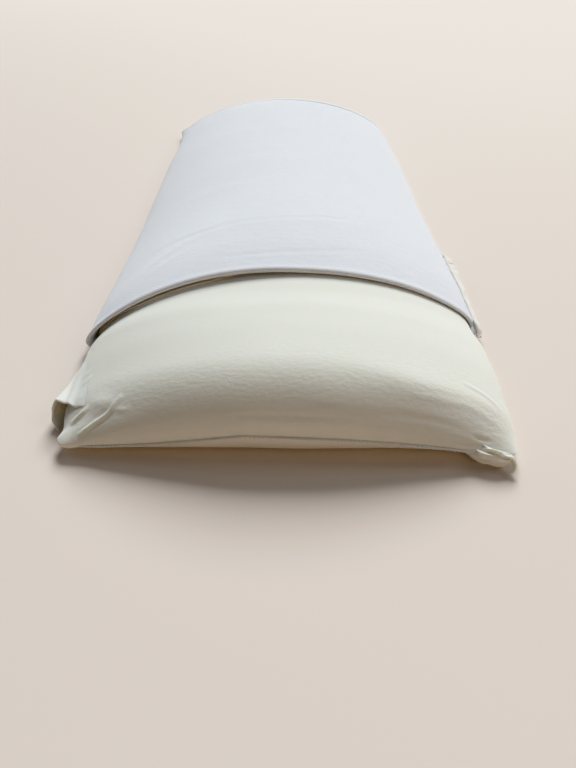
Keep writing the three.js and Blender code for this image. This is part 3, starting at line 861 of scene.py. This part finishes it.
off = GAP + slack - FACING["gap"] - FACING["thick"] / 2 - hang
off = np.maximum(off - filled_out(distance, degrees), FACING_CLEAR)
facing_grid = np.stack([middle_x + x + out_x * off, to_y(distance, x), z + out_z * off], -1)
hem_facing = cloth_piece("facing", facing_grid, FACING["thick"], facing_cotton)
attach(hem_facing, "root")
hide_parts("hem_facing")

# Side tape. A narrow woven tape sewn along the cover's right side, from the hem back to a small loose tab.
TAPE = {"cloth": 1.4, "gap": 0.7, "inner": 9.5, "outer": 5.5}
# Where it meets the hem it lies lower and closer in. The hem itself is this much further back at its height
TAPE_AT_HEM = {"down": 4.5, "in": 2.8, "over": 9, "hem_back": 9}
TAPE_REACH = [
    {"at": 103, "reach": 3.4},
    {"at": 105.5, "reach": 3.6},
    {"at": 109, "reach": 3.7},
    {"at": 116, "reach": 3.6},
    {"at": 125, "reach": 3.6},
    {"at": 160, "reach": 4.4},
    {"at": 178, "reach": 6.2},
    {"at": 188, "reach": 6.6},
    {"at": 191.5, "reach": 5.4},
    {"at": 194, "reach": 2.4},
    {"at": 196.5, "reach": 6.2},
    {"at": 200.5, "reach": 7.0},
    {"at": 206.5, "reach": 2.4},
]
woven_tape = knit_material("woven_tape", (0.86, 0.845, 0.80), 1.0, 0.06, 5.0, 0.15, 0.04)
row, column = np.meshgrid(np.linspace(0, 1, 160), np.linspace(0, 1, 13), indexing="ij")
distance = TAPE_REACH[0]["at"] + (TAPE_REACH[-1]["at"] - TAPE_REACH[0]["at"]) * row
above = GAP + COVER_CLOTH + (COVER_CLOTH + FOLD_GAP) * (1 - hem_settled(distance - HEM_RIGHT))
above = above - edge_sunk(np.maximum(distance - HEM_RIGHT - TAPE_AT_HEM["hem_back"], 0))
at_hem = 1 - smooth((distance - TAPE_REACH[0]["at"]) / TAPE_AT_HEM["over"])
inner_z = TAPE["inner"] - TAPE_AT_HEM["down"] * at_hem
outer_z = TAPE["outer"] - 0.5 * TAPE_AT_HEM["down"] * at_hem
half = along(CUSHION, distance, "half") + above
crown = along(CUSHION, distance, "crown") + above
turn = np.arcsin((np.maximum(inner_z - SIDE_HEIGHT, 0) / (crown - SIDE_HEIGHT)) ** (1 / ARCH))
side_out = right_side_out(distance, np.degrees(turn))
inner_x = (half + side_out) * np.cos(turn) + TAPE["gap"] + TAPE["cloth"] / 2
inner_x = inner_x - TAPE_AT_HEM["in"] * at_hem
x = inner_x + column * along(TAPE_REACH, distance, "reach")
rumple = 0.3 * uneven(110 * row, 23, 21) + 0.5 * column * uneven(110 * row, 31, 22)
folded_edge = 0.7 * bell((column - 1) / 0.45) - 0.35 * bell((column - 0.45) / 0.3)
z = inner_z + (outer_z - inner_z) * column + rumple + folded_edge
tape_grid = np.stack([middle_x + x, to_y(distance, half), z], -1)
side_tape = cloth_piece("side_tape_woven", tape_grid, TAPE["cloth"], woven_tape)
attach(side_tape, "root")
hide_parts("side_tape")

# Floor, light and camera. A plain pale floor under soft studio light from above and behind, with a low warm
# light from the front, seen from before and above the near end.
floor_material = bpy.data.materials.new("floor")
floor_material.use_nodes = True
floor_shader = floor_material.node_tree.nodes["Principled BSDF"]
floor_shader.inputs["Base Color"].default_value = (0.78, 0.72, 0.66, 1)
floor_shader.inputs["Roughness"].default_value = 0.9
bpy.ops.mesh.primitive_plane_add(size=12)
floor = bpy.context.object
floor.name = "floor"
floor.data.materials.append(floor_material)

world = bpy.data.worlds.new("studio")
bpy.context.scene.world = world
world.use_nodes = True
world.node_tree.nodes["Background"].inputs["Color"].default_value = (0.93, 0.96, 1.0, 1)
world.node_tree.nodes["Background"].inputs["Strength"].default_value = 0.10
SOFT_LIGHTS = [
    {
        "name": "window",
        "place": (1.8, 10.6, 7.7),
        "aim": (0, 0.1, 0),
        "size": (6.0, 6.0),
        "power": 2290,
        "colour": (1, 1, 1),
    },
    {
        "name": "side",
        "place": (1.6, 0.2, 1.3),
        "aim": (0, 0, 0),
        "size": (1.0, 1.0),
        "power": 7,
        "colour": (1, 1, 1),
    },
    {
        "name": "left",
        "place": (-2.6, 1.6, 1.4),
        "aim": (0, -0.1, 0),
        "size": (1.5, 1.5),
        "power": 7.5,
        "colour": (0.94, 0.97, 1),
    },
    {
        "name": "warm",
        "place": (0.35, -1.85, 0.42),
        "aim": (0, -0.2, 0),
        "size": (2.4, 0.4),
        "power": 6.6,
        "colour": (1, 0.59, 0.34),
    },
]
for light in SOFT_LIGHTS:
    lamp = bpy.data.lights.new(light["name"], "AREA")
    lamp.energy = light["power"]
    lamp.color = light["colour"]
    lamp.shape = "RECTANGLE"
    lamp.size, lamp.size_y = light["size"]
    stand = bpy.data.objects.new(light["name"], lamp)
    stand.location = light["place"]
    stand.rotation_euler = (Vector(light["aim"]) - stand.location).to_track_quat("-Z", "Y").to_euler()
    bpy.context.collection.objects.link(stand)

VIEW = {"aside": 1.6, "before": 209.7, "above": 238.6, "down": 41.31, "yaw": -0.07, "roll": -0.98}
LENS = {"focal": 27.05, "film": 36, "nearest": 0.01}
lens = bpy.data.cameras.new("camera")
lens.lens = LENS["focal"]
lens.sensor_width = LENS["film"]
lens.clip_start = LENS["nearest"]
camera = bpy.data.objects.new("camera", lens)
camera.location = ((middle_x + VIEW["aside"]) * MM, (near_end - VIEW["before"]) * MM, VIEW["above"] * MM)
turn = Euler((math.radians(90 - VIEW["down"]), 0, math.radians(-VIEW["yaw"])), "XYZ").to_matrix()
roll = Euler((0, 0, math.radians(VIEW["roll"])), "XYZ").to_matrix()
camera.rotation_euler = (turn @ roll).to_euler()
bpy.context.collection.objects.link(camera)
bpy.context.scene.camera = camera
bpy.context.scene.view_settings.view_transform = "Khronos PBR Neutral"
